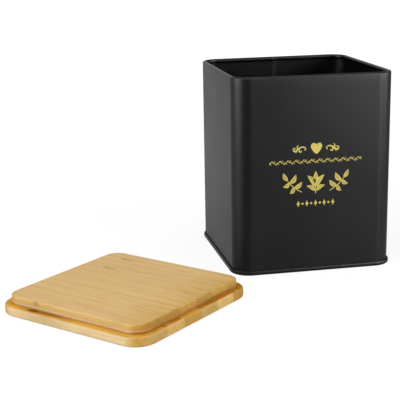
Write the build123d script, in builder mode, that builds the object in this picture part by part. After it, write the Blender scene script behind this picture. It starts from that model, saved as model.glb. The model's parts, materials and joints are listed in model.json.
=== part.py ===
"""Square tea canister: a rolled-rim steel tin with a seamed-on base, and a two-ply bamboo lid
with a clear seal. The lid lies upside down beside the open tin. Millimetres, +Z up, origin at the
middle of the tin's base, the printed front facing -Y."""

import os

from build123d import *

# Tin
tin_width = 110.0
tin_depth = 110.0
tin_height = 132.8
tin_corner_radius = 12.0
steel = 0.3
rim_width = 2.6  # of the oval edge that is rolled inwards round the mouth
rim_height = 3.2
rim_turn = 290.0  # degrees that the edge is rolled through
weld_lap = 4.0  # how far the wrapped sheet's two ends overlap in the back wall

# Base, joined to the wall by a double seam
seam_height = 3.0
seam_gap = 0.06  # between the folded layers
seam_bend = 0.5  # bend radius at the foot of the seam, at mid-sheet
hook_length = 1.5
base_recess = 3.4  # height of the base panel's underside above the foot of the seam
base_bend = 1.2

# Lid, with the cover as the broad ply and the plug as the ply that enters the mouth
cover_overhang = 1.55
cover_thickness = 6.3
cover_corner_radius = 13.6
cover_edge_radius = 1.5
plug_thickness = 5.5
plug_gap = 0.3  # between the plug and the rim when the lid is on
plug_edge_radius = 1.1

# Slats of each ply: the first and last are trimmed strips, and the rest share what is left
cover_slats = 8
cover_first_slat = 6.7
cover_last_slat = 3.5
plug_slats = 7
plug_first_slat = 3.1
plug_last_slat = 15.5

# Seal, a clear ring in a groove round the foot of the plug
groove_rise = 0.5
groove_height = 1.6
groove_depth = 1.5
seal_gap = 0.05
seal_squeeze = 0.2  # how far the ring is pressed in by the mouth
seal_lip_radius = 0.6

# Where the lid lies: its back edge passes the tin's front left corner at this distance
lid_gap = 22.5
lid_shift = -29.7
lid_turn = -46.6

# Worked out from the sizes above
pitch = steel + seam_gap
wall_middle = tin_depth / 2 - steel / 2
mouth_width = tin_width - 2 * rim_width
mouth_depth = tin_depth - 2 * rim_width
mouth_corner_radius = tin_corner_radius - rim_width
cover_width = tin_width + 2 * cover_overhang
cover_depth = tin_depth + 2 * cover_overhang
plug_width = mouth_width - 2 * plug_gap
plug_depth = mouth_depth - 2 * plug_gap
plug_corner_radius = mouth_corner_radius - plug_gap
lid_height = cover_thickness + plug_thickness
seal_reach = plug_gap + seal_squeeze  # the ring stands this far out from the plug

# The lid's own plane: X along its slats, Y across them, Z up from the floor
lid_turned = Plane.XY.rotated((0, 0, lid_turn))
lid_middle = (
    Vector(-tin_width / 2, -tin_depth / 2, 0)
    - lid_turned.y_dir * (lid_gap + cover_depth / 2)
    + lid_turned.x_dir * lid_shift
)
lid_plane = Plane(origin=lid_middle, x_dir=lid_turned.x_dir, z_dir=(0, 0, 1))

os.makedirs("parts", exist_ok=True)


def wrap_path(inset=0.0):
    """The way round the tin, from the middle of the back wall and back to it."""
    radius = tin_corner_radius - inset
    across = tin_width - 2 * tin_corner_radius
    along = tin_depth - 2 * tin_corner_radius
    with BuildLine() as path:
        run = Line((0, tin_depth / 2 - inset), (across / 2, tin_depth / 2 - inset))
        for straight in (along, across, along, across / 2):
            turn = JernArc(start=run @ 1, tangent=run % 1, radius=radius, arc_size=-90)
            run = Line(turn @ 1, turn @ 1 + (turn % 1) * straight)
    return path.wire()


# Body shell: one sheet wrapped round, hooked outwards at its foot and rolled inwards at the mouth
with BuildPart() as body_shell:
    hook_bottom = steel + seam_gap + pitch + steel / 2  # height of the hook's bend centre
    roll_middle = tin_depth / 2 - rim_width / 2
    roll_radius = rim_width / 2 - steel / 2
    roll_high = tin_height - rim_width / 2  # heights of the roll's two bend centres
    roll_low = tin_height - rim_height + rim_width / 2
    with BuildSketch(Plane.YZ):
        with BuildLine():
            hook = Line(
                (wall_middle + 2 * pitch, hook_bottom + hook_length),
                (wall_middle + 2 * pitch, hook_bottom),
            )
            bend = CenterArc((wall_middle + pitch, hook_bottom), pitch, 0, -180)
            wall = Line(bend @ 1, (wall_middle, roll_high))
            roll_top = CenterArc((roll_middle, roll_high), roll_radius, 0, 180)
            roll_side = Line(roll_top @ 1, (roll_middle - roll_radius, roll_low))
            CenterArc((roll_middle, roll_low), roll_radius, 180, rim_turn - 180)
        trace(line_width=steel)
    sweep(path=wrap_path(steel / 2))
    # One end of the wrapped sheet laps over the other on the inside, and thins out to the wall
    lap_bottom = base_recess + steel + seam_gap
    lap_top = tin_height - rim_height
    with BuildSketch(Plane.XY.offset(lap_bottom)):
        inner_face = tin_depth / 2 - steel
        with BuildLine():
            Polyline(
                (-weld_lap / 2, inner_face),
                (-weld_lap / 2, inner_face - steel),
                (weld_lap / 2, inner_face),
                close=True,
            )
        make_face()
    extrude(amount=lap_top - lap_bottom)
body_shell.part.label = "body_shell"
export_step(body_shell.part, "parts/body_shell.step")

# Base pan: the recessed bottom, whose edge folds round the shell's hook and tucks in behind it
with BuildPart() as base_pan:
    panel_height = base_recess + steel / 2
    pan_wall = wall_middle - pitch
    with BuildSketch(Plane.YZ):
        with BuildLine():
            fold_top = seam_height - steel / 2 - pitch
            seam_foot = steel / 2
            tuck = Line(
                (wall_middle + pitch, hook_bottom + seam_gap),
                (wall_middle + pitch, fold_top),
            )
            over = CenterArc((wall_middle + 2 * pitch, fold_top), pitch, 180, -180)
            outside = Line(over @ 1, (wall_middle + 3 * pitch, seam_foot + seam_bend))
            outer_bend = CenterArc(
                (wall_middle + 3 * pitch - seam_bend, seam_foot + seam_bend), seam_bend, 0, -90
            )
            foot = Line(outer_bend @ 1, (pan_wall + seam_bend, seam_foot))
            inner_bend = CenterArc(
                (pan_wall + seam_bend, seam_foot + seam_bend), seam_bend, -90, -90
            )
            inside = Line(inner_bend @ 1, (pan_wall, panel_height - base_bend))
            CenterArc((pan_wall - base_bend, panel_height - base_bend), base_bend, 0, 90)
        trace(line_width=steel)
    sweep(path=wrap_path(steel / 2))
    with BuildSketch(Plane.XY.offset(base_recess)):
        panel_inset = steel + pitch - steel / 2 + base_bend
        RectangleRounded(
            tin_width - 2 * panel_inset,
            tin_depth - 2 * panel_inset,
            tin_corner_radius - panel_inset,
        )
    extrude(amount=steel)
base_pan.part.label = "base_pan"
export_step(base_pan.part, "parts/base_pan.step")


def slat_spans(depth, count, first, last):
    """The two sides of each slat of a board, counted from the board's front edge."""
    inner = (depth - first - last) / (count - 2)
    joints = [first - depth / 2 + inner * number for number in range(count - 1)]
    sides = [-depth / 2, *joints, depth / 2]
    return zip(sides, sides[1:])


# The cover ply before it is parted into slats: it lies on the floor, its edges rounded over
with BuildPart() as cover_board:
    with BuildSketch(lid_plane):
        RectangleRounded(cover_width, cover_depth, cover_corner_radius)
    extrude(amount=cover_thickness)
    rims = cover_board.faces().sort_by(Axis.Z)
    fillet(rims[0].edges() + rims[-1].edges(), cover_edge_radius)

# The plug ply before it is parted: its top edge rounded over and grooved near its foot
with BuildPart() as plug_board:
    with BuildSketch(lid_plane.offset(cover_thickness)):
        RectangleRounded(plug_width, plug_depth, plug_corner_radius)
    extrude(amount=plug_thickness)
    fillet(plug_board.faces().sort_by(Axis.Z)[-1].edges(), plug_edge_radius)
    with BuildSketch(lid_plane.offset(cover_thickness + groove_rise)):
        RectangleRounded(plug_width, plug_depth, plug_corner_radius)
        RectangleRounded(
            plug_width - 2 * groove_depth,
            plug_depth - 2 * groove_depth,
            plug_corner_radius - groove_depth,
            mode=Mode.SUBTRACT,
        )
    extrude(amount=groove_height, mode=Mode.SUBTRACT)

# Slats: each ply is a row of bamboo strips glued edge to edge
cover_spans = slat_spans(cover_depth, cover_slats, cover_first_slat, cover_last_slat)
plug_spans = slat_spans(plug_depth, plug_slats, plug_first_slat, plug_last_slat)
plies = (
    ("cover_slat", cover_board, cover_width, cover_spans),
    ("plug_slat", plug_board, plug_width, plug_spans),
)
for name, board, width, spans in plies:
    for number, (front, back) in enumerate(spans, start=1):
        with BuildPart() as slat:
            add(board.part)
            with BuildSketch(lid_plane):
                with Locations((0, (front + back) / 2)):
                    Rectangle(width, back - front)
            extrude(amount=lid_height, mode=Mode.INTERSECT)
        slat.part.label = f"{name}_{number}"
        export_step(slat.part, f"parts/{name}_{number}.step")

# Seal: a clear ring that sits in the plug's groove and swells out past it in a soft lip
with BuildPart() as seal:
    with BuildSketch(lid_plane.offset(cover_thickness + groove_rise + seal_gap)):
        RectangleRounded(
            plug_width + 2 * seal_reach,
            plug_depth + 2 * seal_reach,
            plug_corner_radius + seal_reach,
        )
        RectangleRounded(
            plug_width - 2 * (groove_depth - seal_gap),
            plug_depth - 2 * (groove_depth - seal_gap),
            plug_corner_radius - groove_depth + seal_gap,
            mode=Mode.SUBTRACT,
        )
    extrude(amount=groove_height - 2 * seal_gap)
    lips = [face.outer_wire().edges() for face in seal.faces().filter_by(Axis.Z)]
    fillet(lips[0] + lips[1], seal_lip_radius)
seal.part.label = "seal"
export_step(seal.part, "parts/seal.step")
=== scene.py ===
"""Dresses the tea canister: a black powder-coated tin with a rolled rim, a double-seamed base and
a gold print on its front, and a lid of two bamboo plies with a clear seal, laid upside down beside
the tin. Sizes are in millimetres and become metres where a mesh is made."""

import json
import math

import bmesh
import bpy
from mathutils import Matrix, Vector

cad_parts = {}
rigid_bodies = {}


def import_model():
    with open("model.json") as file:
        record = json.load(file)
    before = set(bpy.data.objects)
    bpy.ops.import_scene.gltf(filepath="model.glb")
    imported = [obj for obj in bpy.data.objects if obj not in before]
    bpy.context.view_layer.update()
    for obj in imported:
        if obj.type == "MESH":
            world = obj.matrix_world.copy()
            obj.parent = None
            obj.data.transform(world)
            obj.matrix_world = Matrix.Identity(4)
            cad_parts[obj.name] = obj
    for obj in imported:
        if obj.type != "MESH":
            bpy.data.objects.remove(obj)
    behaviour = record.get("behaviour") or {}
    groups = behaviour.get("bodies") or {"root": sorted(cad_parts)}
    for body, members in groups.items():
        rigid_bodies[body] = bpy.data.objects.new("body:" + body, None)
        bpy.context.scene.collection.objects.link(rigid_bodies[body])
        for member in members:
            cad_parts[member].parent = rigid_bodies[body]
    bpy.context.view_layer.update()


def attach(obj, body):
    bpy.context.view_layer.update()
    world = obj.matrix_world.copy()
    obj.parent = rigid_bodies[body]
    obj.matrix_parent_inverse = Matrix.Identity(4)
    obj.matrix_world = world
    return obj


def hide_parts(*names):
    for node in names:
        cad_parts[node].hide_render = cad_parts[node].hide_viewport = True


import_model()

MM = 0.001

# Tin, as in the model
TIN_HALF = 55.0
TIN_HEIGHT = 132.8
TIN_CORNER = 12.0
STEEL = 0.3
RIM_WIDTH = 2.6
RIM_HEIGHT = 3.2
RIM_TURN = 290.0
SEAM_GAP = 0.06
PITCH = STEEL + SEAM_GAP
HOOK_LENGTH = 1.5
SEAM_HEIGHT = 3.0
SEAM_BEND = 0.5
BASE_RECESS = 3.4
BASE_BEND = 1.2
WELD_LAP = 4.0

# Tin, in the scene only
SMALLEST_CORNER = 1.5  # of the turns far inside the wall
WALL_ROWS = (4, 8, 40, 80, 115, 126)  # heights of the wall's turns
SEAM_CROWN = 0.14  # how far the seam's outer face is crowned
LAP_BITE = 0.1  # how far the lap reaches into the wall that it is welded to
LAP_TIP = 0.02  # its thickness where it has thinned out
# The base panel's pressed step, as distances out from the wall and up from the panel
PANEL_STEP = ((-8, 0.0), (-8.6, 0.12), (-9.6, 0.5), (-10.2, 0.6), (-30, 0.6))

# Lid, as in the model
COVER_HALF = 56.55
COVER_CORNER = 13.6
COVER_THICKNESS = 6.3
COVER_EDGE = 1.5
COVER_SLATS = (8, 6.7, 3.5)  # how many, and the first and the last one's width
PLUG_HALF = 52.1
PLUG_CORNER = 9.1
PLUG_THICKNESS = 5.5
PLUG_EDGE = 1.1
PLUG_SLATS = (7, 3.1, 15.5)
GROOVE_RISE = 0.5
GROOVE_HEIGHT = 1.6
GROOVE_DEPTH = 1.5
SEAL_GAP = 0.05
SEAL_REACH = 0.5
SEAL_LIP = 0.6
LID_TURN = math.radians(-46.6)
LID_GAP = 22.5
LID_SHIFT = -29.7
LID_X = Vector((math.cos(LID_TURN), math.sin(LID_TURN), 0))
LID_Y = Vector((-LID_X.y, LID_X.x, 0))
LID_MIDDLE = (
    Vector((-TIN_HALF, -TIN_HALF, 0)) - LID_Y * (LID_GAP + COVER_HALF) + LID_X * LID_SHIFT
)

# How finely the meshes are drawn
CORNER_STEPS = 24
HOOK_STEPS = 8
ROLL_STEPS = 20
CURL_STEPS = 12
FOLD_STEPS = 10
SEAM_STEPS = 6
EDGE_STEPS = 8
SHARP_ANGLE = 35


# Meshes

def ring(half, radius, height):
    """One turn round a rounded square, always with the same number of points."""
    points = []
    for turn in range(4):
        sx, sy = ((1, 1), (-1, 1), (-1, -1), (1, -1))[turn]
        middle = Vector((sx * (half - radius), sy * (half - radius), height))
        for step in range(CORNER_STEPS + 1):
            angle = math.radians(90 * turn + 90 * step / CORNER_STEPS)
            points.append(middle + radius * Vector((math.cos(angle), math.sin(angle), 0)))
    return points


def tin_ring(out, height):
    """The turn round the tin at a distance out from its wall."""
    return ring(TIN_HALF + out, max(TIN_CORNER + out, SMALLEST_CORNER), height)


def skin(mesh, lower, upper):
    """Faces between two closed rows of points."""
    for a in range(len(lower)):
        b = (a + 1) % len(lower)
        mesh.faces.new((lower[a], lower[b], upper[b], upper[a]))


def stack(mesh, rings, loop=False):
    """Skins a pile of rings: a closed band, or a solid with a flat face on its first and last."""
    rows = [[mesh.verts.new(point) for point in points] for points in rings]
    for lower, upper in zip(rows, rows[1:]):
        skin(mesh, lower, upper)
    if loop:
        skin(mesh, rows[-1], rows[0])
    else:
        mesh.faces.new(rows[0][::-1])
        mesh.faces.new(rows[-1])


def finish(mesh, name, body, look, nodes=(), place=Matrix()):
    """Turns a bmesh in millimetres into a piece of the object."""
    bmesh.ops.recalc_face_normals(mesh, faces=mesh.faces)
    mesh.transform(Matrix.Scale(MM, 4) @ place)
    data = bpy.data.meshes.new(name)
    mesh.to_mesh(data)
    mesh.free()
    data.shade_smooth()
    data.set_sharp_from_angle(angle=math.radians(SHARP_ANGLE))
    data.materials.append(look)
    piece = bpy.data.objects.new(name, data)
    bpy.context.scene.collection.objects.link(piece)
    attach(piece, body)
    if nodes:
        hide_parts(*nodes)


def arc(middle, radius, start, sweep, steps):
    """Points on an arc of a section, angles in degrees."""
    return [
        (middle[0] + radius * math.cos(math.radians(start + sweep * i / steps)),
         middle[1] + radius * math.sin(math.radians(start + sweep * i / steps)))
        for i in range(steps + 1)
    ]


def sheet_sides(line):
    """The right and the left side of the steel sheet whose middle follows a line."""
    sides = ([], [])
    for i, (x, z) in enumerate(line):
        before, after = line[max(i - 1, 0)], line[min(i + 1, len(line) - 1)]
        way = Vector((after[0] - before[0], after[1] - before[1])).normalized()
        for side, sign in zip(sides, (1, -1)):
            side.append((x + sign * way.y * STEEL / 2, z - sign * way.x * STEEL / 2))
    return sides


# Materials

def material(name, **values):
    """A new material, with constants set on its shader."""
    made = bpy.data.materials.new(name)
    made.use_nodes = True
    shader = made.node_tree.nodes["Principled BSDF"]
    for socket, value in values.items():
        shader.inputs[socket.replace("_", " ")].default_value = value
    return made, made.node_tree, shader


def node(tree, kind, inputs=(), **settings):
    """A new node. A value that is a socket is linked, and any other is set."""
    made = tree.nodes.new("ShaderNode" + kind)
    for name, value in settings.items():
        setattr(made, name, value)
    for name, value in dict(inputs).items():
        if isinstance(value, bpy.types.NodeSocket):
            tree.links.new(value, made.inputs[name])
        else:
            made.inputs[name].default_value = value
    return made


def calc(tree, how, one, other=0.0):
    """One step of arithmetic on two values."""
    return node(tree, "Math", {0: one, 1: other}, operation=how).outputs["Value"]


def spread(tree, value, low, high, to_low=0.0, to_high=1.0):
    """A value stretched from one span to another, and held within it."""
    made = node(tree, "MapRange", {"Value": value, "From Min": low, "From Max": high,
                                   "To Min": to_low, "To Max": to_high})
    return made.outputs["Result"]


def noise(tree, where, scale, detail=2.0, roughness=0.5):
    """A cloudy pattern round one half."""
    made = node(tree, "TexNoise", {"Vector": where, "Scale": scale, "Detail": detail,
                                   "Roughness": roughness})
    return made.outputs["Fac"]


def length(tree, vector):
    """How long a vector is."""
    return node(tree, "VectorMath", {0: vector}, operation="LENGTH").outputs["Value"]


def parts_of(tree, vector):
    """A vector's X, Y and Z."""
    return node(tree, "SeparateXYZ", {"Vector": vector}).outputs


def ramp(tree, factor, stops):
    """A colour ramp between two (place, colour) stops."""
    made = node(tree, "ValToRGB", {"Fac": factor})
    for element, (place, colour) in zip(made.color_ramp.elements, stops):
        element.position = place
        element.color = (*colour, 1)
    return made.outputs["Color"]


def mix(tree, factor, one, other, how="MIX"):
    """Two colours blended."""
    made = node(tree, "Mix", data_type="RGBA", blend_type=how)
    for index, value in ((0, factor), (6, one), (7, other)):
        if isinstance(value, bpy.types.NodeSocket):
            tree.links.new(value, made.inputs[index])
        else:
            made.inputs[index].default_value = value if index == 0 else (*value, 1)
    return made.outputs[2]


def set_looks(tree, shader, colour, roughness, height, strength, depth):
    """Links a shader's colour, roughness and bump. The bump's depth is in millimetres."""
    tree.links.new(colour, shader.inputs["Base Color"])
    tree.links.new(roughness, shader.inputs["Roughness"])
    bump = node(tree, "Bump", {"Height": height, "Strength": strength, "Distance": depth * MM})
    tree.links.new(bump.outputs["Normal"], shader.inputs["Normal"])


COAT_TONES = ((0.3, (0.0014, 0.0014, 0.0017)), (0.7, (0.0028, 0.0027, 0.0031)))
COAT_POLISH = 0.08  # how much smoother the coat is inside the tin
# A paler colour, painted over the weld inside as the highlight of the lap's step
WELD_HIGHLIGHT = (0.021, 0.020, 0.020)
# Where the painted highlight over the weld fades in: an axis, where there is none and where it is
# full
WELD_HIGHLIGHT_EDGES = (("Y", 51.5, 52.5), ("X", -0.4, 0.0), ("X", 3.4, 0.2), ("Y", 54.9, 54.75))


def powder_coat():
    """Satin black powder coat with a fine orange peel, and a painted highlight over the weld
    inside.
    """
    made, tree, shader = material("black_powder_coat", Specular_IOR_Level=0.175)
    where = node(tree, "TexCoord").outputs["Object"]
    peel = noise(tree, where, 1500.0)
    cloud = noise(tree, where, 28.0, 3.0)
    place = parts_of(tree, where)
    # A paler strip over the weld inside is a painted highlight, where the lap's step catches the
    # light
    weld_highlight_mask = 1.0
    for axis, none, full in WELD_HIGHLIGHT_EDGES:
        edge = spread(tree, place[axis], none * MM, full * MM)
        weld_highlight_mask = calc(tree, "MULTIPLY", weld_highlight_mask, edge)
    # Painted highlight: the weld strip is mixed in paler than the coat
    colour = mix(tree, weld_highlight_mask, ramp(tree, cloud, COAT_TONES), WELD_HIGHLIGHT)
    # The coat is smoother inside: a distance from the tin's corner circles tells the two apart
    reach = []
    for axis in ("X", "Y"):
        off = calc(tree, "ABSOLUTE", place[axis])
        off = calc(tree, "SUBTRACT", off, (TIN_HALF - TIN_CORNER) * MM)
        reach.append(calc(tree, "MAXIMUM", off, 0.0))
    out = node(tree, "CombineXYZ", {"X": reach[0], "Y": reach[1]}).outputs["Vector"]
    inside = spread(tree, length(tree, out), (TIN_CORNER - 0.1) * MM, (TIN_CORNER - 0.2) * MM,
                    0.0, COAT_POLISH)
    rough = calc(tree, "SUBTRACT", spread(tree, cloud, 0.3, 0.7, 0.36, 0.40), inside)
    set_looks(tree, shader, colour, rough, peel, 0.12, 0.1)
    return made


INK_TONES = ((0.3, (0.46, 0.385, 0.078)), (0.7, (0.59, 0.495, 0.105)))


def gold_ink():
    """Screen-printed gold ink, a little uneven in its cover."""
    made, tree, shader = material("gold_ink", Metallic=0.1, Specular_IOR_Level=0.2)
    cover = noise(tree, node(tree, "TexCoord").outputs["Object"], 900.0, 3.0)
    set_looks(tree, shader, ramp(tree, cover, INK_TONES),
              spread(tree, cover, 0.3, 0.7, 0.42, 0.55), cover, 0.1, 0.05)
    return made


def lid_grain(tree):
    """The lid's own coordinates and normal, with X along the slats."""
    coords = node(tree, "TexCoord").outputs
    turned = Matrix.Rotation(-LID_TURN, 3, "Z") @ LID_MIDDLE
    grain = node(tree, "Mapping", {"Vector": coords["Object"], "Rotation": (0, 0, -LID_TURN),
                                   "Location": -turned * MM}).outputs["Vector"]
    facing = node(tree, "Mapping", {"Vector": coords["Normal"], "Rotation": (0, 0, -LID_TURN)})
    return grain, parts_of(tree, facing.outputs["Vector"])


# Wood seen through the clear ring: long grain on two sides, end grain on the other two. The long
# sides are painted paler as a highlight, and the end sides darker as the groove's shade
SEAL_LIT_LONG_TONES = ((0.35, (0.70, 0.46, 0.22)), (0.65, (0.80, 0.55, 0.29)))
SEAL_SHADED_END_TONES = ((0.35, (0.40, 0.165, 0.022)), (0.65, (0.56, 0.27, 0.045)))


def clear_silicone():
    """Soft clear rubber over the wood of the groove, whose tone shows through it, with a painted
    highlight on its long sides and painted shade on its end sides.
    """
    made, tree, shader = material("clear_silicone", Roughness=0.35, IOR=1.41,
                                  Specular_IOR_Level=0.2, Transmission_Weight=0.1)
    grain, facing = lid_grain(tree)
    drawn_out = node(tree, "Mapping", {"Vector": grain, "Scale": (25.0, 58.0, 25.0)})
    wood = noise(tree, drawn_out.outputs["Vector"], 1.0)
    # Painted light: the end sides take a darker tone as painted shade, the long sides a paler one
    # as painted highlight
    shaded_end_side = spread(tree, calc(tree, "ABSOLUTE", facing["X"]), 0.15, 0.5)
    colour = mix(tree, shaded_end_side, ramp(tree, wood, SEAL_LIT_LONG_TONES),
                 ramp(tree, wood, SEAL_SHADED_END_TONES))
    tree.links.new(colour, shader.inputs["Base Color"])
    return made


# Bamboo is pale near the rind and darker where it was steamed. The ledge tones are painted shade
# of the corner at the plug's foot, together with lacquer pooled there
CREAM = (0.80, 0.62, 0.335)
HONEY = (0.675, 0.463, 0.210)
WHEAT = (0.71, 0.48, 0.175)
STRAW = (0.665, 0.43, 0.145)
AMBER = (0.59, 0.345, 0.085)
RUST = (0.535, 0.285, 0.065)
# Painted shade: the cover's ledge beside the plug's foot, partly lacquer pooled in that corner
SHADED_LEDGE_GOLD = (0.65, 0.35, 0.047)
SHADED_LEDGE_RUST = (0.53, 0.23, 0.025)

# What the grain is tinted with
PLUS_X_TINT = (0.88, 0.82, 0.55)
BROAD_TINT = (0.80, 0.72, 0.60)
PALE_BAND = (0.78, 0.58, 0.31)
FIBRE_TINT = (0.78, 0.70, 0.60)
DASH_TINT = (0.86, 0.70, 0.55)
DARK_TINT = (0.62, 0.52, 0.42)
KNOT_TINTS = ((0.50, 0.34, 0.26), (0.50, 0.28, 0.20))  # round a node and at its core
FAINT_KNOT_TINTS = ((0.70, 0.60, 0.50), (0.85, 0.75, 0.65))
PORE_SHADE = 0.72
EDGE_KNOT = -50  # beyond this Y a node lies on an edge that cuts through it

# Length and width of each kind of streak, its detail and its shift
STREAKS = {
    "broad": (110, 4.0, 2.0, 0.0),
    "fibre": (30, 0.6, 3.0, 5.0),
    "hair": (45, 0.32, 1.0, 9.0),
    "dash": (13, 0.7, 2.0, 17.0),
    "patch": (45, 26, 1.0, 13.0),
    "glue": (24, 60, 2.0, 2.0),
}


def bamboo(name, face, side, end, seed, joints, knot=None):
    """Lacquered bamboo: fibres along the lid's own X, end grain across it, dark glue lines.

    Face is the colour seen from above, side the one on a long edge, and end the one of the end
    grain. Joints are the slat's glued sides, and knot is a node's place on it."""
    made, tree, shader = material(name, Specular_IOR_Level=0.03)
    grain, facing = lid_grain(tree)
    place = parts_of(tree, grain)

    def streaks(kind):
        along, across, detail, shift = STREAKS[kind]
        scaled = node(tree, "Mapping", {
            "Vector": grain, "Scale": (1000 / along, 1000 / across, 1000 / across),
            "Location": (seed * 3.7 + shift, seed * 1.3, seed * 2.1)}).outputs["Vector"]
        return noise(tree, scaled, 1.0, detail, 0.55)

    def near(value, middle, reach):
        """One at a place, and nothing beyond its reach."""
        gap = calc(tree, "ABSOLUTE", calc(tree, "SUBTRACT", value, middle * MM))
        return spread(tree, gap, 0.0, reach * MM, 1.0, 0.0)

    def spot_at(x, y, along, across):
        """One at a point of the board, fading to nothing along and across it."""
        return calc(tree, "MULTIPLY", near(place["X"], x, along), near(place["Y"], y, across))

    def darker(colour, factor, tint=DARK_TINT):
        return mix(tree, factor, colour, tint, "MULTIPLY")

    # The tone of each side, before the grain
    flat = spread(tree, calc(tree, "ABSOLUTE", facing["Z"]), 0.45, 0.90)
    under = spread(tree, facing["Z"], -0.45, -0.90)
    # The face turns yellower and darker towards the lid's +X end
    toward_plus_x = spread(tree, place["X"], 0.024, 0.053, 0.0, 0.85)
    face = mix(tree, toward_plus_x, face, tuple(a * b for a, b in zip(face, PLUS_X_TINT)))
    face = mix(tree, under, face, HONEY)
    wood = mix(tree, flat, side, face)

    # Broad streaks, fibres, hairs and short dashes, from coarse to fine
    broad, fibre = streaks("broad"), streaks("fibre")
    wood = darker(wood, spread(tree, broad, 0.62, 0.36, 0.0, 0.22), BROAD_TINT)
    wood = mix(tree, spread(tree, broad, 0.56, 0.72, 0.0, 0.3), wood, PALE_BAND)
    wood = darker(wood, spread(tree, fibre, 0.52, 0.34, 0.0, 0.22), FIBRE_TINT)
    wood = darker(wood, spread(tree, streaks("hair"), 0.60, 0.76, 0.0, 0.4))
    dashes = calc(tree, "MULTIPLY", spread(tree, streaks("dash"), 0.54, 0.70),
                  spread(tree, streaks("patch"), 0.45, 0.60, 0.1, 0.9))
    wood = darker(wood, dashes, DASH_TINT)

    glue = spread(tree, streaks("glue"), 0.40, 0.62, 0.05, 0.55)
    for joint in joints:
        wood = darker(wood, calc(tree, "MULTIPLY", near(place["Y"], joint, 0.5), glue))
    if knot is not None:
        # A node is crisp on an edge that cuts through it, and faint on a planed face
        x, y, along, across = knot
        tint, core_tint = KNOT_TINTS if y < EDGE_KNOT else FAINT_KNOT_TINTS
        spot = calc(tree, "MULTIPLY", spot_at(x, y, along, across),
                    spread(tree, fibre, 0.42, 0.60, 0.6, 1.8))
        wood = darker(wood, spot, tint)
        core = spot_at(x - 0.42 * along, y, 0.22 * along, 0.6 * across)
        wood = darker(wood, spread(tree, core, 0.0, 0.5), core_tint)

    # End grain, its tone shifted a little from slat to slat
    shade = 1 + 0.10 * math.sin(2.4 * seed)
    end = tuple(shade * c for c in end)
    pores = node(tree, "TexVoronoi", {"Vector": grain, "Scale": 1400.0, "Randomness": 0.9})
    end_wood = mix(tree, spread(tree, pores.outputs["Distance"], 0.15, 0.5, 0.5, 0.0),
                   end, tuple(PORE_SHADE * c for c in end))
    end_wood = darker(end_wood, spread(tree, noise(tree, grain, 260.0, 3.0), 0.5, 0.7, 0.0, 0.35))
    cut = spread(tree, calc(tree, "ABSOLUTE", facing["X"]), 0.10, 0.52)
    set_looks(tree, shader, mix(tree, cut, wood, end_wood),
              spread(tree, fibre, 0.3, 0.7, 0.58, 0.68), fibre, 0.1, 0.1)
    return made


coat = powder_coat()
gold = gold_ink()
silicone = clear_silicone()

# Wall: one sheet wrapped round, hooked out at its foot and rolled inwards at the mouth
wall = -STEEL / 2
hook_low = STEEL + SEAM_GAP + PITCH + STEEL / 2
roll = RIM_WIDTH / 2
roll_high, roll_low = TIN_HEIGHT - roll, TIN_HEIGHT - RIM_HEIGHT + roll
line = [(wall + 2 * PITCH, hook_low + HOOK_LENGTH), (wall + 2 * PITCH, hook_low)]
line += arc((wall + PITCH, hook_low), PITCH, 0, -180, HOOK_STEPS)[1:]
line += [(wall, height) for height in WALL_ROWS]
line += arc((-roll, roll_high), roll - STEEL / 2, 0, 180, ROLL_STEPS)
line += arc((-roll, roll_low), roll - STEEL / 2, 180, RIM_TURN - 180, CURL_STEPS)
right, left = sheet_sides(line)
shell = bmesh.new()
stack(shell, [tin_ring(*point) for point in right + left[::-1]], loop=True)

# The sheet's ends lap inside the back wall, the upper one eased at its edge and thinning out
inner = TIN_HALF - STEEL
lap = ((0, inner + LAP_BITE), (0, inner - STEEL * 0.6), (0.15, inner - STEEL * 0.9),
       (0.4, inner - STEEL), (WELD_LAP, inner - LAP_TIP), (WELD_LAP, inner + LAP_BITE))
stack(shell, [[(x, y, z) for x, y in lap]
              for z in (BASE_RECESS + STEEL + SEAM_GAP, TIN_HEIGHT - RIM_HEIGHT)])
finish(shell, "tin_shell", "tin", coat, ["body_shell"])

# Base: the fold that closes over the sheet's hook, the seam, and the panel with its wall
seam_foot = STEEL / 2
pan_wall = wall - PITCH
panel = BASE_RECESS + STEEL / 2
fold_top = SEAM_HEIGHT - STEEL / 2 - PITCH
crown_low = seam_foot + SEAM_BEND
line = [(wall + PITCH, hook_low + SEAM_GAP)]
line += arc((wall + 2 * PITCH, fold_top), PITCH, 180, -180, FOLD_STEPS)
for i in range(1, SEAM_STEPS):
    line.append((wall + 3 * PITCH + SEAM_CROWN * math.sin(math.pi * i / SEAM_STEPS),
                 fold_top + (crown_low - fold_top) * i / SEAM_STEPS))
line += arc((wall + 3 * PITCH - SEAM_BEND, crown_low), SEAM_BEND, 0, -90, SEAM_STEPS)
line += arc((pan_wall + SEAM_BEND, seam_foot + SEAM_BEND), SEAM_BEND, -90, -90, SEAM_STEPS)
line += arc((pan_wall - BASE_BEND, panel - BASE_BEND), BASE_BEND, 0, 90, EDGE_STEPS)
line += [(out, panel + up) for out, up in PANEL_STEP]
right, left = sheet_sides(line)
base = bmesh.new()
stack(base, [tin_ring(*point) for point in right[::-1] + left])
finish(base, "tin_base", "tin", coat, ["base_pan"])

# Lid
lid_place = Matrix.Translation(LID_MIDDLE) @ Matrix.Rotation(LID_TURN, 4, "Z")


def lid_board(half, corner, section):
    """A board before it is parted, from a section of (out, up) round its edge."""
    board = bmesh.new()
    stack(board, [ring(half + out, corner + out, up) for out, up in section])
    return board


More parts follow.
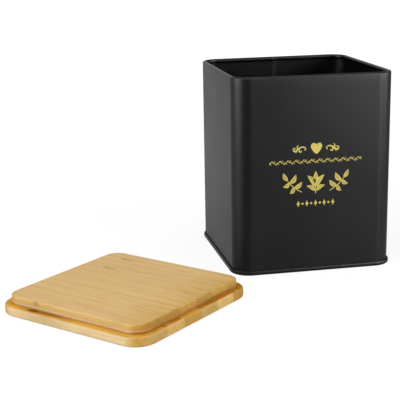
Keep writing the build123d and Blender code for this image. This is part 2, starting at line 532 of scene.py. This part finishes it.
foot = COVER_THICKNESS
cover_section = arc((-COVER_EDGE, COVER_EDGE), COVER_EDGE, -90, 90, EDGE_STEPS)
cover_section += arc((-COVER_EDGE, foot - COVER_EDGE), COVER_EDGE, 0, 90, EDGE_STEPS)
plug_top = foot + PLUG_THICKNESS
groove_low = foot + GROOVE_RISE
groove_high = groove_low + GROOVE_HEIGHT
plug_section = [(0, foot), (0, groove_low), (-GROOVE_DEPTH, groove_low),
                (-GROOVE_DEPTH, groove_high), (0, groove_high)]
plug_section += arc((-PLUG_EDGE, plug_top - PLUG_EDGE), PLUG_EDGE, 0, 90, EDGE_STEPS)

# The bamboo of each slat: its face, side and end grain, and a knot's place, length and width
# The cover's face tones are painted shade on its ledge beside the plug
COVER_LOOKS = (
    (SHADED_LEDGE_GOLD, CREAM, AMBER, (-17.0, -53.8, 25.0, 4.0)),
    (SHADED_LEDGE_GOLD, CREAM, STRAW, None),
    (SHADED_LEDGE_RUST, CREAM, STRAW, None),
    (SHADED_LEDGE_GOLD, CREAM, AMBER, None),
    (SHADED_LEDGE_RUST, CREAM, STRAW, None),
    (SHADED_LEDGE_RUST, CREAM, WHEAT, None),
    (SHADED_LEDGE_RUST, CREAM, AMBER, None),
    (SHADED_LEDGE_RUST, HONEY, AMBER, None),
)
PLUG_LOOKS = (
    (HONEY, WHEAT, RUST, (-26.5, -53.0, 3.5, 1.5)),
    (HONEY, WHEAT, RUST, None),
    (HONEY, WHEAT, RUST, None),
    (HONEY, WHEAT, AMBER, None),
    (HONEY, WHEAT, AMBER, None),
    (HONEY, WHEAT, AMBER, (-31.0, 20.6, 6.0, 2.2)),
    (HONEY, WHEAT, AMBER, (-32.0, 40.6, 7.0, 2.4)),
)


def part_slats(board, ply, half, slats, looks, first_seed):
    """Cuts a board along its joints and finishes each slat in its own bamboo."""
    count, first, last = slats
    inner_slat = (2 * half - first - last) / (count - 2)
    sides = [-half, *(first - half + inner_slat * number for number in range(count - 1)), half]
    for number, (front, back) in enumerate(zip(sides, sides[1:]), start=1):
        slat = board.copy()
        joints = []
        for side, way in ((front, -1), (back, 1)):
            if abs(side) == half:
                continue
            joints.append(side)
            cut = bmesh.ops.bisect_plane(
                slat, geom=slat.verts[:] + slat.edges[:] + slat.faces[:],
                plane_co=(0, side, 0), plane_no=(0, way, 0), clear_outer=True)
            edges = [e for e in cut["geom_cut"] if isinstance(e, bmesh.types.BMEdge)]
            bmesh.ops.holes_fill(slat, edges=edges)
        face, edge, end, knot = looks[number - 1]
        name = f"{ply}_slat_{number}"
        look = bamboo(f"{ply}_bamboo_{number}", face, edge, end, first_seed + number, joints, knot)
        finish(slat, f"{name}_wood", "lid", look, [name], place=lid_place)
    board.free()


part_slats(lid_board(COVER_HALF, COVER_CORNER, cover_section),
           "cover", COVER_HALF, COVER_SLATS, COVER_LOOKS, 0)
part_slats(lid_board(PLUG_HALF, PLUG_CORNER, plug_section),
           "plug", PLUG_HALF, PLUG_SLATS, PLUG_LOOKS, 10)

# Seal: a clear ring in the groove, with a soft lip that stands proud of the plug
seal_low = groove_low + SEAL_GAP
seal_high = seal_low + GROOVE_HEIGHT - 2 * SEAL_GAP
seal_back = SEAL_GAP - GROOVE_DEPTH
lip = SEAL_REACH - SEAL_LIP
section = [(seal_back, seal_high), (seal_back, seal_low)]
section += arc((lip, seal_low + SEAL_LIP), SEAL_LIP, -90, 90, EDGE_STEPS)
section += arc((lip, seal_high - SEAL_LIP), SEAL_LIP, 0, 90, EDGE_STEPS)
seal = bmesh.new()
stack(seal, [ring(PLUG_HALF + out, PLUG_CORNER + out, up) for out, up in section], loop=True)
finish(seal, "seal_ring", "lid", silicone, ["seal"], place=lid_place)


# Print on the front: gold shapes drawn in X and Z, a hair proud of the coat

CENTRE = 0.15  # the print's middle line
INK = 0.05  # how far the ink stands proud
INK_STEP = 0.004  # between shapes that cross
INK_BITE = 0.01  # how far it reaches into the coat
CURVE_STEPS = 8
CAP_STEPS = 6
LEAF_STEPS = 12
LEAF_VEIN = 0.3


def ink(shapes, name):
    """Makes a piece of the print from closed outlines, each a little prouder than the last."""
    made = bmesh.new()
    for number, shape in enumerate(shapes):
        proud = INK + INK_STEP * (number % 4)
        stack(made, [[(x, y, z) for x, z in shape]
                     for y in (INK_BITE - TIN_HALF, -TIN_HALF - proud)])
    finish(made, name, "tin", gold)


def curve(points, steps=CURVE_STEPS):
    """A smooth line through the given points."""
    points = [Vector(p) for p in points]
    ends = [2 * points[0] - points[1], *points, 2 * points[-1] - points[-2]]
    line = []
    for a, b, c, d in zip(ends, ends[1:], ends[2:], ends[3:]):
        for i in range(steps):
            t = i / steps
            line.append(0.5 * (2 * b + (c - a) * t + (2 * a - 5 * b + 4 * c - d) * t * t
                               + (3 * b - a - 3 * c + d) * t ** 3))
    return line + [points[-1]]


def stroke(points):
    """A brush stroke through (x, z, width) points, round at both ends."""
    line = curve(points)
    sides = ([], [])
    for i, here in enumerate(line):
        way = (line[min(i + 1, len(line) - 1)] - line[max(i - 1, 0)]).to_2d().normalized()
        for side, sign in zip(sides, (1, -1)):
            side.append(here.to_2d() + sign * Vector((-way.y, way.x)) * here.z / 2)
    caps = []
    for here, other in ((line[-1], line[-2]), (line[0], line[1])):
        way = (here - other).to_2d().normalized()
        across = Vector((-way.y, way.x))
        caps.append([here.to_2d() + here.z / 2 * (across * math.cos(a) + way * math.sin(a))
                     for a in (math.pi * i / CAP_STEPS for i in range(1, CAP_STEPS))])
    return sides[0] + caps[0] + sides[1][::-1] + caps[1]


def leaf(base, tip, width, bend):
    """A pointed leaf in two halves, bent to one side, with a bare vein between them."""
    base, tip = Vector(base), Vector(tip)
    way = tip - base
    across = Vector((-way.y, way.x)).normalized()
    halves = []
    for sign in (1, -1):
        rib, edge = [], []
        for i in range(LEAF_STEPS + 1):
            t = i / LEAF_STEPS
            middle = base + way * t + across * bend * math.sin(math.pi * t)
            swell = math.sin(math.pi * t ** 0.8) ** 0.85 if 0 < t < 1 else 0
            thin = min(1, 3 * t, 3 * (1 - t)) * LEAF_VEIN / 2
            rib.append(middle + sign * across * min(thin, width / 2 * swell))
            edge.append(middle + sign * across * width / 2 * swell)
        halves.append(rib + edge[-2:0:-1])
    return halves


def mirrored(shapes):
    """The shapes and their mirror images about the print's middle line."""
    return list(shapes) + [[(2 * CENTRE - x, z) for x, z in shape] for shape in shapes]


# The heart, drawn half and then shrunk a little about its middle
HEART_SCALE, HEART_X, HEART_Z = 0.96, CENTRE + 0.3, 84.4
half = curve([(0, 87.15), (0.7, 87.85), (1.9, 88.24), (3.2, 87.8), (3.98, 86.6), (3.95, 85.4),
              (3.3, 83.9), (2.2, 82.3), (1.0, 81.1), (0.3, 80.65), (0, 80.56)], steps=4)
half = [(HEART_SCALE * x, HEART_Z + HEART_SCALE * (z - HEART_Z)) for x, z in half]
ink([[(HEART_X + x, z) for x, z in half]
     + [(HEART_X - x, z) for x, z in half[-2:0:-1]]], "print_heart")

scroll = [
    stroke([(-14.1, 85.0, 0.7), (-14.8, 85.2, 0.6), (-15.4, 84.4, 0.8), (-15.0, 83.4, 0.95),
            (-14.1, 83.05, 1.05), (-13.0, 83.7, 1.15), (-11.9, 84.65, 1.15), (-10.8, 85.25, 1.0),
            (-9.2, 85.75, 0.85), (-7.8, 85.45, 0.75), (-7.05, 84.6, 0.75), (-7.3, 83.8, 0.6),
            (-7.8, 83.55, 0.45)]),
    stroke([(-12.3, 84.7, 0.7), (-12.8, 85.7, 0.8), (-12.45, 86.6, 0.5), (-11.6, 87.1, 0.2)]),
    stroke([(-13.3, 83.7, 0.7), (-13.4, 83.0, 0.9), (-13.6, 82.3, 0.7)]),
    stroke([(-11.4, 84.5, 0.7), (-11.45, 83.5, 0.8), (-10.9, 82.65, 1.1), (-10.05, 82.75, 0.9),
            (-9.8, 83.3, 0.4)]),
]
ink(mirrored(scroll), "print_scrolls")

# A fine vine: a waving stem with small leaves turned up and down by turns
VINE_HEIGHT, VINE_WAVE, VINE_WAVES = 75.96, 5.4, 6
stem = [(CENTRE + 0.6 + VINE_WAVE / 4 * i, VINE_HEIGHT + 0.5 * math.sin(math.pi / 2 * i), 0.3)
        for i in range(-4 * VINE_WAVES, 4 * VINE_WAVES)]
garland = [stroke(stem)]
for i, (x, z, _) in enumerate(stem[:-1]):
    side = 1 if i % 2 else -1
    lift = side if i % 4 < 2 else -side
    garland.append(stroke([(x, z, 0.3), (x + 0.5, z + 0.55 * lift, 0.62),
                           (x + 1.15, VINE_HEIGHT + 1.2 * lift, 0.2)]))
ink(garland, "print_garland")

# Three sprigs: one upright in the middle, and a leaning one at each side
sprig = leaf((CENTRE, 60.5), (CENTRE, 69.2), 3.2, 0.0)
sprig.append(stroke([(CENTRE, 54.4, 0.6), (CENTRE, 61.0, 0.5)]))
side = leaf((CENTRE - 0.4, 58.6), (CENTRE - 5.9, 66.4), 3.4, -1.0)
side += leaf((CENTRE - 0.4, 55.8), (CENTRE - 6.3, 59.4), 2.8, -0.8)
side.append(stroke([(CENTRE - 21.2, 66.4, 0.35), (CENTRE - 18.6, 62.4, 0.5),
                    (CENTRE - 14.6, 58.4, 0.55), (CENTRE - 9.8, 55.4, 0.5)]))
side += leaf((CENTRE - 19.4, 63.6), (CENTRE - 22.4, 69.0), 2.8, 0.5)
side += leaf((CENTRE - 17.8, 61.6), (CENTRE - 13.6, 67.4), 3.2, -0.9)
side += leaf((CENTRE - 18.2, 61.9), (CENTRE - 22.4, 59.4), 2.7, 0.8)
side += leaf((CENTRE - 14.6, 58.4), (CENTRE - 9.4, 62.4), 3.0, -0.9)
side += leaf((CENTRE - 14.9, 58.6), (CENTRE - 17.8, 54.6), 2.7, 0.7)
ink(sprig + mirrored(side), "print_sprig")

# A row of lozenges with dots between them
ROW_HEIGHT, ROW_PITCH, DOT_RADIUS = 47.35, 3.0, 0.75
LOZENGE = ((-1.2, 0), (-0.5, 0.85), (0, 2.15), (0.5, 0.85),
           (1.2, 0), (0.5, -0.85), (0, -2.15), (-0.5, -0.85))
row = []
for i in range(-4, 5):
    x = CENTRE + ROW_PITCH * i
    if i % 2:
        row.append([(x + DOT_RADIUS * math.cos(a), ROW_HEIGHT + DOT_RADIUS * math.sin(a))
                    for a in (math.pi * k / 8 for k in range(16))])
    else:
        row.append([(x + out, ROW_HEIGHT + up) for out, up in LOZENGE])
ink(row, "print_row")


# Camera, floor and light

CAMERA_ANGLES = (-11.0843, 14.3921, -1.0575)  # its turn, downward tilt and roll, in degrees
CAMERA_PLACE = (-204.322, -698.135, 222.784)
CAMERA_FOCAL = 1038.96  # in pixels
PICTURE_WIDTH = 400
SENSOR_WIDTH = 36

FLOOR_HALF = 6
FLOOR_TONES = ((0.0, (0.80, 0.80, 0.80)), (1.0, (0.84, 0.84, 0.84)))
FLOOR_GLOW = 0.75  # the share of the floor's light that is its own, where it is seen
WORLD_LIGHT = 0.42  # on surfaces that aren't glossy
AIM = (0, 0, 0.06)  # what the lamps are turned to

# Place, size and power of each soft box, in metres and watts
LAMPS = {
    "key_left": ((-1.1, -0.7, 0.9), (1.0, 1.0), 10.4),
    "fill_right": ((1.1, -1.1, 0.9), (1.0, 1.0), 10.2),
    "top": ((-0.1, -0.1, 1.6), (1.4, 1.4), 7),
}
# Cards only show in the tin's gloss
CARDS = {
    "card_left": ((-1.18, -0.27, 0.27), (0.85, 0.6), 22),
    "card_front": ((0.92, -1.32, 0.27), (0.6, 0.6), 31),
    "card_above": ((0.1, -1.35, 1.15), (1.4, 0.6), 18),
    "card_right": ((1.2, -0.5, 0.27), (0.45, 0.5), 15),
}


def camera():
    """The photograph's view."""
    turn, down, roll = (math.radians(a) for a in CAMERA_ANGLES)
    ahead = Vector((-math.sin(turn) * math.cos(down), math.cos(turn) * math.cos(down),
                    -math.sin(down)))
    right = Vector((math.cos(turn), math.sin(turn), 0))
    up = right.cross(ahead)
    across = math.cos(roll) * right + math.sin(roll) * up
    upright = math.cos(roll) * up - math.sin(roll) * right
    made = bpy.data.objects.new("camera", bpy.data.cameras.new("camera"))
    made.data.sensor_width = SENSOR_WIDTH
    made.data.lens = SENSOR_WIDTH * CAMERA_FOCAL / PICTURE_WIDTH
    made.data.clip_start = 0.01
    made.matrix_world = (Matrix.Translation(Vector(CAMERA_PLACE) * MM)
                         @ Matrix((across, upright, -ahead)).transposed().to_4x4())
    bpy.context.scene.collection.objects.link(made)
    bpy.context.scene.camera = made


def ray(tree, kind):
    """One for a ray of this kind."""
    return node(tree, "LightPath").outputs[f"Is {kind} Ray"]


def seen(tree):
    """One for a ray from the camera, or one mirrored or let through by a surface."""
    glossy = calc(tree, "MAXIMUM", ray(tree, "Camera"), ray(tree, "Glossy"))
    return calc(tree, "MAXIMUM", glossy, ray(tree, "Transmission"))


def floor():
    """A pale floor that looks white and keeps the object's shadow."""
    corners = [(x * FLOOR_HALF, y * FLOOR_HALF, 0)
               for x, y in ((-1, -1), (1, -1), (1, 1), (-1, 1))]
    data = bpy.data.meshes.new("floor")
    data.from_pydata(corners, [], [(0, 1, 2, 3)])
    made = bpy.data.materials.new("pale_floor")
    made.use_nodes = True
    tree = made.node_tree
    tree.nodes.clear()
    where = node(tree, "TexCoord").outputs["Object"]
    matt = node(tree, "BsdfDiffuse", {"Color": ramp(tree, noise(tree, where, 6.0), FLOOR_TONES)})
    # What the gloss of the tin sees is paler behind it and darker in front and to its right
    place = parts_of(tree, where)
    pool = calc(tree, "MULTIPLY", spread(tree, place["Y"], -0.5, 0.25, 0.16, 0.8),
                spread(tree, place["X"], 0.06, 0.26, 1.0, 0.3))
    white = spread(tree, length(tree, where), 0.3, 1.3, 1.1, 1.3)
    strength = spread(tree, ray(tree, "Camera"), 0.0, 1.0, pool, white)
    glow = node(tree, "Emission", {"Color": (1, 1, 1, 1), "Strength": strength})
    both = node(tree, "MixShader", {0: calc(tree, "MULTIPLY", seen(tree), FLOOR_GLOW),
                                    1: matt.outputs["BSDF"], 2: glow.outputs["Emission"]})
    tree.links.new(both.outputs["Shader"],
                   node(tree, "OutputMaterial").inputs["Surface"])
    data.materials.append(made)
    piece = bpy.data.objects.new("floor", data)
    bpy.context.scene.collection.objects.link(piece)


def softbox(name, place, size, power):
    """A rectangle of soft light turned to the object."""
    lamp = bpy.data.lights.new(name, "AREA")
    lamp.shape = "RECTANGLE"
    lamp.size, lamp.size_y = size
    lamp.energy = power
    made = bpy.data.objects.new(name, lamp)
    made.location = place
    aim = Vector(AIM) - Vector(place)
    made.rotation_euler = aim.to_track_quat("-Z", "Y").to_euler()
    bpy.context.scene.collection.objects.link(made)
    return made


camera()
floor()
for name, values in LAMPS.items():
    softbox(name, *values)

# The cards light only the tin's pieces, so the lid's gloss doesn't show them
tin_pieces = bpy.data.collections.new("tin_pieces")
for piece in bpy.data.objects:
    if piece.name.startswith(("tin_", "print_")):
        tin_pieces.objects.link(piece)
for name, values in CARDS.items():
    card = softbox(name, *values)
    card.visible_diffuse = False
    card.light_linking.receiver_collection = tin_pieces

# The world is white to the camera, even to matt surfaces, and in gloss brighter behind the object
world = bpy.data.worlds.new("studio")
world.use_nodes = True
bpy.context.scene.world = world
tree = world.node_tree
way = parts_of(tree, node(tree, "TexCoord").outputs["Generated"])
backdrop = calc(tree, "MULTIPLY", spread(tree, way["Y"], -0.1, 0.3, 0.10, 0.75),
                spread(tree, way["X"], 0.2, 0.6, 1.0, 0.5))
indirect = spread(tree, seen(tree), 0.0, 1.0, WORLD_LIGHT, backdrop)
tree.links.new(spread(tree, ray(tree, "Camera"), 0.0, 1.0, indirect, 1.0),
               tree.nodes["Background"].inputs["Strength"])
tree.nodes["Background"].inputs["Color"].default_value = (1, 1, 1, 1)
bpy.context.scene.view_settings.view_transform = "Standard"
